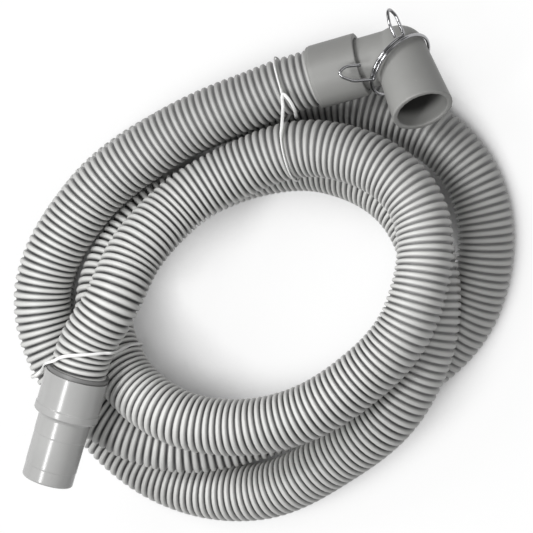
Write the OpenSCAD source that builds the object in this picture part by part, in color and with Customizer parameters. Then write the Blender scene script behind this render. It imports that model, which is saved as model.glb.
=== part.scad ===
// Pool vacuum hose, coiled: ribbed hose, swivelling elbow cuff with a wire clamp,
// swivelling straight cuff and two twist ties. Millimetres, +Z up, floor at z = 0.

/* [Hose] */
// Outside diameter of the hose over its ribs
hose_od = 42; // [41:0.5:43]
// Wall of the hose, from its bore to the crests of its ribs
hose_wall = 4; // [3.8:0.1:5]
// Depth of the groove between two ribs
groove_depth = 1.8; // [1:0.1:1.9]
// Number of ribs drawn along the hose
rib_count = 176; // [150:2:190]
// Thickness left under the bore where the hose is flattened by the floor
floor_wall = 1.2; // [0.8:0.1:1.6]
// Height of the lowest centre line above the floor, in hose diameters
lowest_level = 0.4; // [0.4:0.01:0.42]

/* [Cuffs on the hose] */
// Distance from the end of the coil to the rim of either cuff
rim_setback = 12; // [10:0.5:14]
// Clearance between the ribs and a part threaded over them
thread_fit = 0.2; // [0.1:0.05:0.3]
// Radial clearance of a part that turns on another
running_fit = 0.08; // [0.04:0.01:0.1]
// Axial clearance on each side of a part that turns
side_fit = 0.2; // [0.1:0.05:0.3]
// Thickness of the washers that seal the hose ends
washer_t = 1.2; // [1:0.1:1.6]

/* [Elbow cuff] */
// Wall of the sleeve over the hose
sleeve_wall = 2.2; // [1.8:0.1:2.6]
// Thickness of the sleeve's end wall
sleeve_end_wall = 2; // [1.6:0.1:3]
// Chamfer at both rims of the sleeve
sleeve_chamfer = 1.2; // [0.6:0.1:1.6]
// How much narrower than the hose the elbow leg is that turns in the sleeve
leg_under = 4; // [3.5:0.5:5.5]
// Wall of the elbow legs
elbow_wall = 2.8; // [2.2:0.1:3.2]
// Distance from the sleeve's end to the elbow's corner
corner_out = 29.1; // [28:0.1:31]
// How much wider than the turning leg the near leg is at the corner
near_leg_over = 2; // [1:0.5:3]
// How much wider than at the corner the near leg is at its mouth
mouth_flare = 6; // [4.5:0.5:7]
// Wall of the mouth's socket
mouth_wall = 4; // [3.6:0.1:4.4]
// Depth of the mouth's socket
mouth_depth = 30; // [26:1:32]
// Length of the near leg from the corner to the mouth
near_leg_run = 53; // [50:1:56]
// Angle between the two legs' axes
elbow_turn = 80; // [78:1:90]
// Roll of the near leg about the sleeve's axis
elbow_roll = 150; // [140:1:155]

/* [Spring clamp] */
// Diameter of the clamp's wire
wire_d = 2.4; // [2:0.1:2.6]
// How much wider than the near leg the clamp's ring is inside
ring_over = 11; // [10.5:0.1:11.5]
// Tilt of the ring from square to the near leg
ring_tilt = 25; // [23:1:27]
// Height of the ring above the corner, along its own axis
ring_lift = 7; // [6.5:0.1:7.5]
// Shift of the ring towards the inside of the bend
ring_shift = 6.5; // [6.3:0.1:6.7]
// Gap between the two wires where they lie side by side
wire_gap = 0.4; // [0.3:0.1:0.8]
// Length of each finger loop
tab_run = 23; // [20:1:25]
// Width of each finger loop at its root
tab_root_w = 12; // [10:1:13]
// Width of each finger loop at its tip
tab_tip_w = 4; // [3:0.5:6]

/* [Straight cuff] */
// Wall of the threaded bush on the hose
bush_wall = 1; // [0.8:0.1:1.2]
// Width of the bush's collar
collar_w = 2.5; // [2:0.5:3]
// Width of the open groove between the collar and the cuff
collar_gap = 1; // [0.6:0.1:1.5]
// Wall of the cuff's wide part
cuff_wall = 1.2; // [1:0.1:1.4]
// How far the bead runs on past the shoulder inside the cuff
cuff_floor = 0.3; // [0.2:0.1:1]
// Width of the bead round the cuff
bead_w = 6.6; // [6:0.2:7]
// Height of the bead above the wide part
bead_h = 0.6; // [0.5:0.1:1]
// How much narrower than the hose the stub is at its root
stub_under = 3; // [2.6:0.1:3.5]
// Step in radius at each of the stub's two shallow steps
stub_step = 0.25; // [0.15:0.05:0.3]
// Length of the stub from the bead to the mouth
stub_run = 50.5; // [44:0.5:54]
// Wall of the stub
stub_wall = 2.2; // [1.8:0.1:2.6]

/* [Twist ties] */
// Diameter of the ties' coating
tie_d = 1.8; // [1.4:0.1:2]

/* [Show] */
// Piece to show

/* [Hidden] */
$fn = 96;
eps = 0.01;

// Diameters that follow from the hose's own
hose_id = hose_od - 2 * hose_wall;
leg_od = hose_od - leg_under;
near_leg_od = leg_od + near_leg_over;
mouth_od = near_leg_od + mouth_flare;
mouth_id = mouth_od - 2 * mouth_wall;
ring_id = near_leg_od + ring_over;
stub_od = hose_od - stub_under;

// Route of the hose. Stations stand every 30 degrees of turn about the coil's centre,
// counted from first_station, for the first end outside-top round to the last end.
// lane is the distance from the coil's centre and level the height, in hose diameters.
first_station = 60;
station_step = 30;
first_turn = 76;
last_turn = 1280;
lane = [4.50, 3.50, 3.15, 3.30, 3.60, 3.35, 2.85, 2.30, 2.20, 2.80, 3.85, 4.40,
        3.95, 3.40, 3.25, 3.50, 3.85, 3.65, 3.55, 3.35, 3.10, 3.25, 3.35, 3.25,
        2.75, 2.30, 2.15, 2.35, 2.50, 2.40, 2.20, 2.10, 2.20, 2.55, 3.25, 3.70,
        3.15, 2.35, 2.00, 1.90, 2.05, 3.00];
level = [1.35, 1.50, 1.55, 1.60, 1.60, 1.45, 1.30, 0.95, 0.65, 0.45, 0.40, 0.40,
         0.40, 0.40, 0.40, 0.45, 0.45, 0.40, 0.45, 0.75, 1.15, 1.45, 1.40, 1.10,
         0.80, 0.75, 0.85, 1.15, 1.55, 1.90, 2.25, 2.35, 2.40, 2.45, 2.45, 2.10,
         1.85, 1.85, 2.10, 2.55, 2.90, 2.80];
// The coil's centre in the frame, so that the whole part stands centred on the origin
centre_x = -4.58;
centre_y = -28.71;

// A smooth curve through a table of stations, at station number u
function smooth(t, u) =
    let (i = floor(u), f = u - i, last = len(t) - 1,
         a = t[max(i - 1, 0)], b = t[i], c = t[min(i + 1, last)], d = t[min(i + 2, last)])
    b + 0.5 * f * ((c - a) + f * ((2 * a - 5 * b + 4 * c - d) + f * (3 * (b - c) + d - a)));
function station(turn) = (turn - first_station) / station_step;
function coil_point(turn) =
    let (r = hose_od * smooth(lane, station(turn)),
         h = hose_od * max(smooth(level, station(turn)), lowest_level))
    [centre_x + r * cos(turn), centre_y + r * sin(turn), h];
function unit(v) = v / norm(v);

// Running length along the coil, so that ribs can be set out evenly
turn_step = 2;
end_run = hose_od;
coil_turns = [for (t = [first_turn:turn_step:last_turn]) t];
coil_points = [for (t = coil_turns) coil_point(t)];
last_index = len(coil_turns) - 1;
coil_runs = [for (i = 0, s = 0; i <= last_index;
                  s = s + (i < last_index ? norm(coil_points[i + 1] - coil_points[i]) : 0),
                  i = i + 1) [s, coil_turns[i]]];
coil_length = coil_runs[last_index][0];
hose_length = coil_length + 2 * end_run;
aim_step = 0.5;
first_point = coil_point(first_turn);
last_point = coil_point(last_turn);
first_aim = unit(first_point - coil_point(first_turn + aim_step));
last_aim = unit(last_point - coil_point(last_turn - aim_step));

// Point of the centre line at length s from the first cut end
function hose_point(s) =
    let (c = s - end_run)
    c < 0 ? first_point - first_aim * c
    : c > coil_length ? last_point + last_aim * (c - coil_length)
    : coil_point(lookup(c, coil_runs));
function hose_aim(s) =
    s <= end_run ? -first_aim
    : s >= end_run + coil_length ? last_aim
    : unit(hose_point(s + aim_step) - hose_point(s - aim_step));
// A ring of points round the centre line; nothing goes below the height low
ring_sides = 8;
function ring(s, r, low) =
    let (p = hose_point(s), t = hose_aim(s), side = unit(cross([0, 0, 1], t)), up = cross(t, side))
    [for (k = [0:ring_sides - 1])
        let (a = 360 * (k + 0.5) / ring_sides, q = p + r * (cos(a) * side + sin(a) * up))
        [q[0], q[1], max(q[2], low)]];

// Least gap of the hose to itself, between points a good way apart along it
probe_step = 5;
probe_apart = 2.2;
probe_skip = ceil(probe_apart * hose_od / probe_step);
probes = [for (s = [0:probe_step:hose_length]) hose_point(s)];
self_gap = min([for (i = [0:len(probes) - 1 - probe_skip])
                min([for (j = [i + probe_skip:len(probes) - 1]) norm(probes[i] - probes[j])])])
           - hose_od;
echo(hose_length_mm = hose_length, least_self_gap_mm = self_gap);

// Triangles between rings of points: walls of a tube, then the two flat ends
function wall_faces(first, count, sides, flip) =
    [for (i = [0:count - 2], k = [0:sides - 1])
        let (a = first + i * sides + k, b = first + i * sides + (k + 1) % sides,
             c = a + sides, d = b + sides)
        each (flip ? [[a, b, d], [a, d, c]] : [[b, a, d], [d, a, c]])];
function end_faces(outer, inner, sides, flip) =
    [for (k = [0:sides - 1])
        let (m = (k + 1) % sides, a = outer + k, b = outer + m, c = inner + k, d = inner + m)
        each (flip ? [[a, b, d], [a, d, c]] : [[b, a, d], [d, a, c]])];
function cap_faces(first, sides, flip) =
    [for (k = [1:sides - 2])
        flip ? [first, first + k, first + k + 1] : [first, first + k + 1, first + k]];

bore_skip = 3;
module hose() {
    half_ribs = 2 * rib_count;
    half_pitch = hose_length / half_ribs;
    bore_rings = floor(half_ribs / bore_skip);
    outer = [for (i = [0:half_ribs])
             each ring(i * half_pitch, hose_od / 2 - (i % 2 == 0 ? 0 : groove_depth), 0)];
    bore = [for (i = [0:bore_rings])
            each ring(hose_length * i / bore_rings, hose_id / 2, floor_wall)];
    bore_first = len(outer);
    color([0.62, 0.62, 0.62])
    polyhedron(points = concat(outer, bore), convexity = 20,
        faces = concat(
            wall_faces(0, half_ribs + 1, ring_sides, false),
            wall_faces(bore_first, bore_rings + 1, ring_sides, true),
            end_faces(0, bore_first, ring_sides, true),
            end_faces(half_ribs * ring_sides, bore_first + bore_rings * ring_sides,
                      ring_sides, false)));
}

// Frames at the two hose ends: +Z runs out along the hose, +X lies level, z = 0 at the
// end of the coil and z = end_run at the cut end
module at_end(p, aim) {
    side = unit(cross([0, 0, 1], aim));
    up = cross(aim, side);
    multmatrix([[side[0], up[0], aim[0], p[0]],
                [side[1], up[1], aim[1], p[1]],
                [side[2], up[2], aim[2], p[2]],
                [0, 0, 0, 1]])
    children();
}
module at_elbow_end() at_end(first_point, first_aim) children();
module at_cuff_end() at_end(last_point, last_aim) children();

// Radii and stations shared by the parts that fit together, measured from the coil's ends
over_ribs_r = hose_od / 2 + thread_fit;
washer_z = end_run + side_fit / 2;
stop_z = washer_z + washer_t + side_fit;

// Elbow end: the leg's flange turns between the washer and a split ring in the sleeve
flange_w = 2;
flange_r = over_ribs_r - 2 * running_fit;
ring_w = 1;
ring_bite = 1;
snap_z = stop_z + flange_w + side_fit;
sleeve_end_z = snap_z + ring_w + side_fit + sleeve_end_wall;
sleeve_r = over_ribs_r + sleeve_wall;
corner_run = sleeve_end_z + corner_out;
leg_r = leg_od / 2;
leg_bore_r = leg_r - elbow_wall;
split_w = 3;

module elbow_sleeve() {
    groove_z = snap_z - side_fit / 2;
    color([0.53, 0.54, 0.53])
    at_elbow_end()
    rotate_extrude()
    polygon([
        [over_ribs_r, rim_setback],
        [sleeve_r - sleeve_chamfer, rim_setback],
        [sleeve_r, rim_setback + sleeve_chamfer],
        [sleeve_r, sleeve_end_z - sleeve_chamfer],
        [sleeve_r - sleeve_chamfer, sleeve_end_z],
        [leg_r + running_fit, sleeve_end_z],
        [leg_r + running_fit, sleeve_end_z - sleeve_end_wall],
        [over_ribs_r + ring_bite, sleeve_end_z - sleeve_end_wall],
        [over_ribs_r + ring_bite, groove_z],
        [over_ribs_r, groove_z]]);
}

module elbow_washer() {
    color([0.12, 0.12, 0.13])
    at_elbow_end()
    translate([0, 0, washer_z])
    difference() {
        cylinder(r = flange_r, h = washer_t);
        translate([0, 0, -eps]) cylinder(r = leg_bore_r, h = washer_t + 2 * eps);
    }
}

// A split ring that snaps into a groove
module split_ring(inner_r, outer_r) {
    gap_angle = 2 * asin(split_w / 2 / outer_r);
    rotate([0, 0, gap_angle / 2])
    rotate_extrude(angle = 360 - gap_angle)
    translate([inner_r, 0]) square([outer_r - inner_r, ring_w]);
}

module elbow_ring() {
    color([0.72, 0.73, 0.75])
    at_elbow_end()
    translate([0, 0, snap_z + side_fit / 2])
    split_ring(leg_r + 3 * running_fit, over_ribs_r + ring_bite - running_fit);
}

// The elbow's own frame: the corner is the origin, +Z is the sleeve's axis, and the near
// leg leans in the XZ plane
module at_corner() {
    at_elbow_end()
    translate([0, 0, corner_run])
    rotate([0, 0, elbow_roll])
    children();
}
module along_near_leg() rotate([0, elbow_turn, 0]) children();

// The mouth's outer edge is rounded in two flats; the corner's ball stands a little
// proud of both legs, outside and in
lip_r = 1.2;
lip_flat = 0.3 * lip_r;
corner_swell = 0.3;
module elbow() {
    near_r = near_leg_od / 2;
    mouth_r = mouth_od / 2;
    bore_r = near_r - elbow_wall;
    color([0.55, 0.56, 0.55])
    at_corner()
    difference() {
        union() {
            translate([0, 0, stop_z - corner_run]) cylinder(r = flange_r, h = flange_w);
            translate([0, 0, stop_z - corner_run]) cylinder(r = leg_r, h = corner_run - stop_z);
            sphere(r = near_r + corner_swell);
            along_near_leg()
            rotate_extrude()
            polygon([
                [0, 0],
                [near_r, 0],
                [mouth_r, near_leg_run - lip_r],
                [mouth_r - lip_flat, near_leg_run - lip_flat],
                [mouth_r - lip_r, near_leg_run],
                [0, near_leg_run]]);
        }
        translate([0, 0, stop_z - corner_run - eps])
            cylinder(r = leg_bore_r, h = corner_run - stop_z + eps);
        sphere(r = bore_r + corner_swell);
        along_near_leg() cylinder(r = bore_r, h = near_leg_run);
        along_near_leg()
            translate([0, 0, near_leg_run - mouth_depth])
            cylinder(r = mouth_id / 2, h = mouth_depth + eps);
    }
}

// Spring clamp: its ring lies aslant over the corner. In the ring's frame +Z is the
// ring's axis and +X points to the inside of the bend.
ring_r = ring_id / 2 + wire_d / 2;
wire_r = wire_d / 2;
wire_side = (wire_d + wire_gap) / 2;
first_tab = -124;
first_lean = 49;
first_twist = 65;
second_tab = -31;
second_lean = 28;
second_twist = 220;
hinge_turn = 140;
tab_bend = 7;
tab_foot = 5;
wire_overrun = 6;
wire_fn = 20;
bend_swell = 0.05;
module at_ring() {
    at_corner()
    rotate([0, elbow_turn - ring_tilt, 0])
    translate([ring_shift, 0, ring_lift])
    children();
}
module rod(p, q) {
    d = q - p;
    translate(p)
    rotate([0, acos(d[2] / norm(d)), atan2(d[1], d[0])])
    cylinder(r = wire_r, h = norm(d), $fn = wire_fn);
}
module ball(p) translate(p) sphere(r = wire_r + bend_swell, $fn = wire_fn);
module arc(from, to, lift) {
    translate([0, 0, lift])
    rotate([0, 0, from])
    rotate_extrude(angle = to - from)
    translate([ring_r, 0]) circle(r = wire_r, $fn = wire_fn);
}
// A finger loop: a leg out, a tip bar and a leg back. It leans away from the mouth, and
// twist turns its width about the leg.
module finger_loop(turn, lift, lean, twist) {
    root = [ring_r, 0, lift];
    out = [cos(lean), 0, -sin(lean)];
    over = [0, sin(twist), cos(twist)];
    taper = (tab_root_w - tab_tip_w) / 2;
    a = root + out * (tab_run - tab_bend);
    b = root + out * tab_run + over * taper;
    c = root + out * tab_run + over * (tab_root_w - taper);
    d = root + out * (tab_run - tab_bend) + over * tab_root_w;
    e = root + out * tab_foot + over * tab_root_w;
    rotate([0, 0, turn]) {
        ball(root);
        rod(root, a);
        ball(a);
        rod(a, b);
        ball(b);
        rod(b, c);
        ball(c);
        rod(c, d);
        ball(d);
        rod(d, e);
        ball(e);
    }
}
module clamp_long_wire() {
    color([0.78, 0.79, 0.8])
    at_ring() {
        arc(first_tab, hinge_turn + wire_overrun, -wire_side);
        finger_loop(first_tab, -wire_side, first_lean, first_twist);
    }
}
module clamp_short_wire() {
    color([0.78, 0.79, 0.8])
    at_ring() {
        arc(hinge_turn - wire_overrun - 360, second_tab, wire_side);
        finger_loop(second_tab, wire_side, second_lean, second_twist);
    }
}

// Straight end: the cuff turns on a bush threaded over the hose, held by a split ring
bush_r = over_ribs_r + bush_wall;
cuff_bore_r = bush_r + running_fit;
cuff_r = cuff_bore_r + cuff_wall;
bead_r = cuff_r + bead_h;
cuff_z = rim_setback;
shoulder_z = washer_z + washer_t;
stub_z = shoulder_z + cuff_floor;
bead_z = stub_z - bead_w;
mouth_z = stub_z + stub_run;
stub_r = stub_od / 2;
snap_bite = 0.7;
snap_run = 1.2;
cuff_snap_z = bead_z + snap_run;
collar_drop = 0.2;
edge_soft = 1;
// Places of the stub's two shallow steps, as parts of its length
first_step_at = 0.3;
second_step_at = 0.78;

module cuff_bush() {
    collar_r = cuff_r - collar_drop;
    collar_z = cuff_z - collar_gap - collar_w;
    color([0.6, 0.61, 0.6])
    at_cuff_end()
    difference() {
        union() {
            translate([0, 0, collar_z]) cylinder(r = collar_r, h = collar_w);
            translate([0, 0, collar_z]) cylinder(r = bush_r, h = end_run - collar_z);
        }
        translate([0, 0, collar_z - eps]) cylinder(r = over_ribs_r, h = hose_od);
        translate([0, 0, cuff_snap_z - side_fit / 2])
        difference() {
            cylinder(r = bush_r + bush_wall, h = ring_w + side_fit);
            cylinder(r = bush_r - bush_wall / 2, h = ring_w + side_fit);
        }
    }
}

module cuff_ring() {
    color([0.72, 0.73, 0.75])
    at_cuff_end()
    translate([0, 0, cuff_snap_z])
    split_ring(bush_r - bush_wall / 2 + running_fit, bush_r + snap_bite);
}

module cuff_washer() {
    color([0.12, 0.12, 0.13])
    at_cuff_end()
    translate([0, 0, washer_z])
    difference() {
        cylinder(r = over_ribs_r - 2 * running_fit, h = washer_t - side_fit);
        translate([0, 0, -eps]) cylinder(r = stub_r - stub_wall, h = washer_t);
    }
}

module swivel_cuff() {
    groove_r = bush_r + snap_bite + running_fit;
    first_step_z = stub_z + first_step_at * stub_run;
    second_step_z = stub_z + second_step_at * stub_run;
    tip_r = stub_r - 2 * stub_step;
    bore_r = stub_r - stub_wall;
    color([0.57, 0.58, 0.57])
    at_cuff_end()
    rotate_extrude()
    polygon([
        [cuff_bore_r, cuff_z],
        [cuff_r - edge_soft / 2, cuff_z],
        [cuff_r, cuff_z + edge_soft / 2],
        [cuff_r, bead_z - edge_soft / 2],
        [bead_r, bead_z + edge_soft / 2],
        [bead_r, stub_z - edge_soft],
        [bead_r - edge_soft, stub_z],
        [stub_r, stub_z + 2 * edge_soft],
        [stub_r, first_step_z],
        [stub_r - stub_step, first_step_z + edge_soft],
        [stub_r - stub_step, second_step_z],
        [tip_r, second_step_z + edge_soft],
        [tip_r, mouth_z - edge_soft],
        [tip_r - edge_soft / 3, mouth_z - edge_soft / 3],
        [tip_r - edge_soft, mouth_z],
        [bore_r, mouth_z],
        [bore_r, shoulder_z],
        [cuff_bore_r, shoulder_z],
        [cuff_bore_r, cuff_snap_z + ring_w + side_fit],
        [groove_r, cuff_snap_z + ring_w + side_fit],
        [groove_r, cuff_snap_z - side_fit],
        [cuff_bore_r, cuff_snap_z - side_fit]]);
}

// Twist ties: each is laid round the strands of the coil as [turn, clock, stand-off].
// turn picks the place along the coil; clock is the angle round the hose there, 0 away
// from the coil's centre and 90 on top; stand-off is in hose diameters, beyond tie_fit.
// Each tie starts and ends in a free tail beside its knot.
tie_fit = 0.9;
top_loop = [[81, 185, 0.03], [80, 155, 0.03], [79, 125, 0.01], [79, 90, 0.01],
            [79, 45, 0.01], [79, 5, 0], [79, -40, 0], [79, -85, 0.02], [81, -138, 0.05],
            [1156, -65, 0.06], [1151, -105, 0], [1151, -145, 0], [1151, -185, 0], [1151, -225, 0],
            [1151, -265, 0], [1151, -300, 0.01], [1150, -325, 0.08], [79, 128, 0.15],
            [77, 145, 0.13]];
side_loop = [[198, -100, 0.06], [198, -70, 0.01], [198, -35, 0], [198, 0, 0], [198, 25, 0],
             [198, 55, 0.02], [197, 82, 0.06], [1282, 12, 0.07], [1281, 45, 0],
             [1279, 65, 0], [1277, 90, 0], [1275, 115, 0], [1273, 140, 0], [1272, 165, 0.01],
             [925, 140, 0.03], [924, 172, 0], [922, -155, 0], [920, -120, 0], [918, -80, 0.03],
             [201, -110, 0.03], [201, -85, 0.02], [202, -60, 0.08]];
function tie_station(t) =
    let (p = coil_point(t[0]), aim = unit(coil_point(t[0] + aim_step) - p),
         side = unit(cross([0, 0, 1], aim)), up = cross(aim, side),
         reach = hose_od * (0.5 + t[2]) + tie_d / 2 + tie_fit)
    p + reach * (sin(t[1]) * up - cos(t[1]) * side);
tie_sides = 6;
tie_rings = 52;
function along(v, aim) = unit(v - (v * aim) * aim);
module tie(route) {
    t = [for (r = route) tie_station(r)];
    last = len(t) - 1;
    spots = [for (i = [0:tie_rings]) smooth(t, min(i * last / tie_rings, last - eps))];
    aims = [for (i = [0:tie_rings])
            unit(spots[min(i + 1, tie_rings)] - spots[max(i - 1, 0)])];
    sides = [for (i = 0, v = along([0, 0, 1], aims[0]); i <= tie_rings;
                  i = i + 1, v = along(v, aims[min(i, tie_rings)])) v];
    points = [for (i = [0:tie_rings], k = [0:tie_sides - 1])
              let (a = 360 * k / tie_sides, up = cross(aims[i], sides[i]))
              spots[i] + tie_d / 2 * (cos(a) * sides[i] + sin(a) * up)];
    color([0.95, 0.95, 0.93])
    polyhedron(points = points, convexity = 10,
        faces = concat(
            wall_faces(0, tie_rings + 1, tie_sides, false),
            cap_faces(0, tie_sides, true),
            cap_faces(tie_rings * tie_sides, tie_sides, false)));
}
module top_tie() tie(top_loop);
module side_tie() tie(side_loop);

hose();
elbow_sleeve();
elbow_washer();
elbow_ring();
elbow();
clamp_long_wire();
clamp_short_wire();
cuff_bush();
cuff_washer();
cuff_ring();
swivel_cuff();
top_tie();
side_tie();
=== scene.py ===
"""Coiled pool vacuum hose: finished pieces, finishes and a plain stage around the CAD frame.

Sizes are in metres. The hose runs as one long screw thread of ribs. Every piece rides on the
CAD body that it belongs to.
"""

import math

import bpy
from bpy.props import FloatProperty, FloatVectorProperty, IntProperty, PointerProperty
from bpy.types import Operator, Panel, PropertyGroup
from mathutils import Matrix, Vector


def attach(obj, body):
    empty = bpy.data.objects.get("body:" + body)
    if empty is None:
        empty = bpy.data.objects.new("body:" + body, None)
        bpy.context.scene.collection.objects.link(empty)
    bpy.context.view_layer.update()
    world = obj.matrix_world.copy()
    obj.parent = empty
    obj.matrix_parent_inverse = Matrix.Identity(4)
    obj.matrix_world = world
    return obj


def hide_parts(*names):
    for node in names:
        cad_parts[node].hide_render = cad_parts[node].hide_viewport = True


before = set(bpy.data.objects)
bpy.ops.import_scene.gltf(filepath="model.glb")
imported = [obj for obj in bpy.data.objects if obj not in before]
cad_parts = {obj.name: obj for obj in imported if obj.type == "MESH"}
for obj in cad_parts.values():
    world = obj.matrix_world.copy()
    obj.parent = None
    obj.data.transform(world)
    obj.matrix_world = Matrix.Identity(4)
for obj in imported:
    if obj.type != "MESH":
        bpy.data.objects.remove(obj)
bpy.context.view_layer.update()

bl_info = {
    "name": "Pool vacuum hose",
    "version": (1, 0, 0),
    "blender": (4, 5, 0),
    "location": "View3D > Sidebar > Pool hose",
    "description": "Builds a coiled pool vacuum hose with its cuffs, clamp and twist ties",
    "category": "Add Mesh",
}

MM = 0.001

# Route of the hose: a station every 30 degrees of turn about the coil's centre. LANE is the
# distance from that centre and LEVEL the height, in hose diameters.
FIRST_STATION = 60
STATION_STEP = 30
FIRST_TURN = 76
LAST_TURN = 1280
LANE = [
    4.50, 3.50, 3.15, 3.30, 3.60, 3.35, 2.85, 2.30, 2.20, 2.80, 3.85, 4.40,
    3.95, 3.40, 3.25, 3.50, 3.85, 3.65, 3.55, 3.35, 3.10, 3.25, 3.35, 3.25,
    2.75, 2.30, 2.15, 2.35, 2.50, 2.40, 2.20, 2.10, 2.20, 2.55, 3.25, 3.70,
    3.15, 2.35, 2.00, 1.90, 2.05, 3.00,
]
LEVEL = [
    1.35, 1.50, 1.55, 1.60, 1.60, 1.45, 1.30, 0.95, 0.65, 0.45, 0.40, 0.40,
    0.40, 0.40, 0.40, 0.45, 0.45, 0.40, 0.45, 0.75, 1.15, 1.45, 1.40, 1.10,
    0.80, 0.75, 0.85, 1.15, 1.55, 1.90, 2.25, 2.35, 2.40, 2.45, 2.45, 2.10,
    1.85, 1.85, 2.10, 2.55, 2.90, 2.80,
]
LOWEST_LEVEL = 0.4
COIL_CENTRE = (-4.58 * MM, -28.71 * MM)
HOSE_OUTSIDE = 42 * MM

# Heights along the two end axes, from the end of the coil outwards
CUT_END = 42 * MM
SLEEVE_RIM = 12 * MM
SLEEVE_END = 48.9 * MM
ELBOW_STOP = 43.5 * MM
CORNER_RUN = 78 * MM
BEAD_START = 37 * MM
STUB_START = 43.6 * MM
CUFF_MOUTH = 94.1 * MM

# Degrees that the elbow is turned in its sleeve, that its near leg leans from the far one
# and that the clamp's ring leans, and the ring's middle from the elbow's corner
ELBOW_TURN = 150
NEAR_LEG_LEAN = 80
CLAMP_LEAN = 55
CLAMP_MIDDLE = (6.5 * MM, 0, 7 * MM)

RUNNING_GAP = 0.08 * MM      # round a part that turns in another
TIE_GAP = 1.7 * MM           # from the hose to the middle of a tie that lies on it

# Stations of the ties: turn along the coil, clock round the hose, stand-off in diameters.
# From the free stand-off on, a tie hangs loose.
FREE_STAND_OFF = 0.05
TOP_LOOP = [
    (79.2, 112, 0.03), (79, 90, 0.01), (79, 45, 0.01), (79, 5, 0), (79, -40, 0),
    (79, -85, 0.02), (81, -138, 0.05), (1156, -65, 0.06), (1151, -105, 0),
    (1151, -145, 0), (1151, -185, 0), (1151, -225, 0), (1151, -265, 0),
    (1151, -300, 0.01), (1150.5, -322, 0.06), (80, 124, 0.09), (79.2, 107, 0.08),
    (78.6, 103, 0.08), (77.9, 114, 0.09), (77.7, 132, 0.08), (78.1, 150, 0.06),
    (78.8, 172, 0.05),
]
SIDE_LOOP = [
    (198, -100, 0.06), (198, -70, 0.01), (198, -35, 0), (198, 0, 0), (198, 25, 0),
    (198, 50, 0.02), (197.4, 72, 0.05), (1282.5, 24, 0.08), (1281, 45, 0.01),
    (1279, 65, 0), (1277, 90, 0), (1275, 115, 0), (1273, 140, 0), (1272, 165, 0.01),
    (925, 140, 0.03), (924, 172, 0), (922, -155, 0), (920, -120, 0), (918, -80, 0.03),
    (201, -110, 0.03), (201, -85, 0.02), (202, -60, 0.08),
]


# ---------------------------------------------------------------- settings

def length(name, description, default):
    return FloatProperty(name=name, description=description, default=default,
                         subtype="DISTANCE", unit="LENGTH", precision=5)


def colour(name, description, default):
    return FloatVectorProperty(name=name, description=description, default=default,
                               subtype="COLOR", size=3, min=0, max=1)


class PoolHoseRibs(PropertyGroup):
    bore: length("Bore", "Inside diameter of the hose", 34 * MM)
    groove: length("Groove", "Depth of the groove between two ribs", 2 * MM)
    ribs: IntProperty(name="Ribs", description="Turns of the rib along the hose",
                      default=550, min=100, max=600)
    sides: IntProperty(name="Sides", description="Faces round the hose",
                       default=26, min=12, max=32)
    crest: colour("Crest", "Colour of the ribs' crests", (0.66, 0.66, 0.645))
    # The groove colour is partly the grey web between the ribs and partly painted shade down
    # in the grooves.
    groove_web_and_painted_shade: colour("Groove", "Colour down in the grooves", (0.045, 0.045, 0.046))
    # Painted light: the lighter grey that the grooves are painted on the right bend and
    # towards the far side.
    painted_light_groove: colour("Pale groove", "Colour of the grooves where the hose is faded",
                        (0.20, 0.20, 0.20))


class PoolHoseElbow(PropertyGroup):
    sleeve_outside: length("Sleeve", "Outside diameter of the sleeve", 46.8 * MM)
    sleeve_bore: length("Sleeve bore", "Inside diameter of the sleeve", 42.4 * MM)
    leg_outside: length("Leg", "Outside diameter of the leg that turns", 38 * MM)
    corner_outside: length("Corner", "Outside diameter of the elbow's corner", 40.6 * MM)
    mouth_outside: length("Mouth", "Outside diameter at the mouth", 46 * MM)
    mouth_bore: length("Mouth bore", "Inside diameter at the mouth", 38 * MM)
    mouth_depth: length("Mouth depth", "Depth of the mouth's socket", 30 * MM)
    wall: length("Wall", "Wall of the elbow", 2.8 * MM)
    near_run: length("Near leg", "From the corner to the mouth", 53 * MM)
    grey: colour("Grey", "Colour of the elbow and its sleeve", (0.31, 0.31, 0.30))


class PoolHoseClamp(PropertyGroup):
    wire: length("Wire", "Diameter of the wire", 2.4 * MM)
    ring: length("Ring", "Diameter of the ring between wire centres", 53.4 * MM)
    steel: colour("Steel", "Colour of the clamp's wire", (0.38, 0.38, 0.39))


class PoolHoseCuff(PropertyGroup):
    wide_outside: length("Wide part", "Outside diameter of the wide part", 46.96 * MM)
    bush_outside: length("Bush", "Outside diameter of the bush", 44.4 * MM)
    stub_outside: length("Stub", "Outside diameter of the stub at its root", 39 * MM)
    stub_bore: length("Stub bore", "Inside diameter of the stub", 34.6 * MM)
    step: length("Step", "Change in radius at each of the stub's two steps", 0.25 * MM)
    grey: colour("Grey", "Colour of the straight cuff", (0.40, 0.40, 0.395))
    rubber: colour("Rubber", "Colour of the seals", (0.025, 0.025, 0.027))


class PoolHoseTies(PropertyGroup):
    width: length("Width", "Width of the ties", 2.5 * MM)
    slimming: FloatProperty(name="Slimming", default=0.5, min=0, max=0.8, subtype="FACTOR",
                            description="How much narrower the top tie gets where it is tight")
    thickness: length("Thickness", "Thickness of the ties", 1.2 * MM)
    white: colour("White", "Colour of the ties", (0.86, 0.86, 0.85))


class PoolHoseStage(PropertyGroup):
    view_width: length("View width", "Width that the camera takes in", 389.3 * MM)
    distance: length("Distance", "Distance of the camera from the coil", 10.0)
    floor: colour("Floor", "Colour of the floor", (0.9, 0.9, 0.9))


SETTINGS = {
    "pool_hose_ribs": PoolHoseRibs,
    "pool_hose_elbow": PoolHoseElbow,
    "pool_hose_clamp": PoolHoseClamp,
    "pool_hose_cuff": PoolHoseCuff,
    "pool_hose_ties": PoolHoseTies,
    "pool_hose_stage": PoolHoseStage,
}


# ---------------------------------------------------------------- route of the hose

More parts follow.
